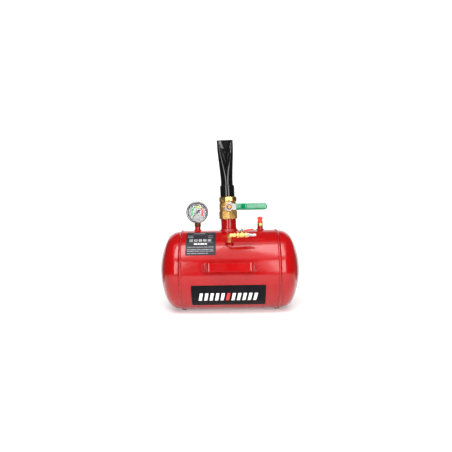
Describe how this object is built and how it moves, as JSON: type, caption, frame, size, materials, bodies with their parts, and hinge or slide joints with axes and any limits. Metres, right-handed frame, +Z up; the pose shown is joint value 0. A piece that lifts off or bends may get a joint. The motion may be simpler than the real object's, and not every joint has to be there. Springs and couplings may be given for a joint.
{
  "type": "tyre bead seater air tank",
  "caption": "Portable air tank with a quick-opening ball valve, flattened blast barrel, gauge, safety valve, fill valve and strap handle.",
  "frame": {"origin": "middle of the tank's own axis, halfway between the round seams", "axes": "+X along the tank towards the safety valve, +Z up the neck, -Y towards the handle and the levers"},
  "size_m": [0.4394, 0.2842, 0.5407],
  "materials": {
    "red_enamel": "gloss enamel over primer",
    "black_enamel": "gloss black enamel",
    "brass": "forged and machined brass",
    "zinc_steel": "zinc plated steel",
    "nickel_steel": "nickel plated steel",
    "chrome_bezel": "polished stainless steel",
    "green_vinyl": "dip-moulded green vinyl",
    "red_vinyl": "dip-moulded red vinyl",
    "red_plastic": "moulded red plastic",
    "lens": "clear window",
    "dial_white": "printed white enamel",
    "needle_black": "matt black",
    "label_film": "printed vinyl film",
    "seal_white": "ptfe",
    "black_rubber": "moulded rubber",
    "spring_steel": "spring wire"
  },
  "bodies": {
    "tank": {"tank_shell": "red_enamel", "tank_head_left": "red_enamel", "tank_head_right": "red_enamel", "seam_welds": "red_enamel", "neck_pipe": "red_enamel", "neck_weld": "red_enamel", "gauge_boss": "red_enamel", "safety_boss": "red_enamel", "fill_boss": "red_enamel", "boss_welds": "red_enamel", "shoe_left": "red_enamel", "shoe_right": "red_enamel", "handle_strap": "red_enamel", "handle_welds": "red_enamel", "info_label": "label_film", "front_label": "label_film", "valve_body": "brass", "valve_end_piece": "brass", "valve_seats": "seal_white", "stem_packing": "seal_white", "gland_nut": "brass", "barrel_socket": "black_enamel", "barrel_tube": "black_enamel", "gauge_case": "chrome_bezel", "gauge_bezel": "chrome_bezel", "gauge_lens": "lens", "gauge_dial": "dial_white", "gauge_dial_ring": "dial_white", "gauge_socket": "brass", "bourdon_tube": "brass", "gauge_movement": "brass", "gauge_fill_plug": "black_rubber", "safety_body": "brass", "fill_elbow": "brass", "fill_valve_body": "brass", "fill_valve_end": "brass", "fill_seats": "seal_white", "fill_gland_nut": "brass", "coupler_plug": "nickel_steel"},
    "lever_arm": {"valve_ball": "nickel_steel", "valve_stem": "brass", "lever": "zinc_steel", "lever_grip": "green_vinyl", "lever_washer": "red_vinyl", "lever_nut": "zinc_steel"},
    "fill_handle": {"fill_ball": "nickel_steel", "fill_stem": "brass", "fill_lever": "zinc_steel", "fill_lever_sleeve": "red_vinyl", "fill_lever_nut": "zinc_steel"},
    "pull_cap": {"safety_cap": "red_plastic", "safety_stem": "zinc_steel", "safety_spring": "spring_steel"},
    "needle": {"gauge_needle": "needle_black"}
  },
  "joints": [
    {"name": "main_lever_turn", "type": "hinge", "parent": "tank", "child": "lever_arm", "pos_m": [0.00057, -0.04786, 0.20006], "axis": [0.075, -0.9972, 0.002], "range_deg": [0, 90]},
    {"name": "fill_lever_turn", "type": "hinge", "parent": "tank", "child": "fill_handle", "pos_m": [0.037, -0.11507, 0.11587], "axis": [0, 0, -1], "range_deg": [0, 90]},
    {"name": "safety_pull", "type": "slide", "parent": "tank", "child": "pull_cap", "axis": [0, 0, 1], "range_m": [0, 0.003], "stiffness_N_per_m": 1500, "springref_m": -0.002, "deforming": ["safety_spring"]},
    {"name": "needle_sweep", "type": "hinge", "parent": "tank", "child": "needle", "pos_m": [-0.101, 0, 0.184], "axis": [0, 1, 0], "range_deg": [0, 270], "stiffness_Nm_per_rad": 0.0004, "springref_deg": -17.19}
  ]
}
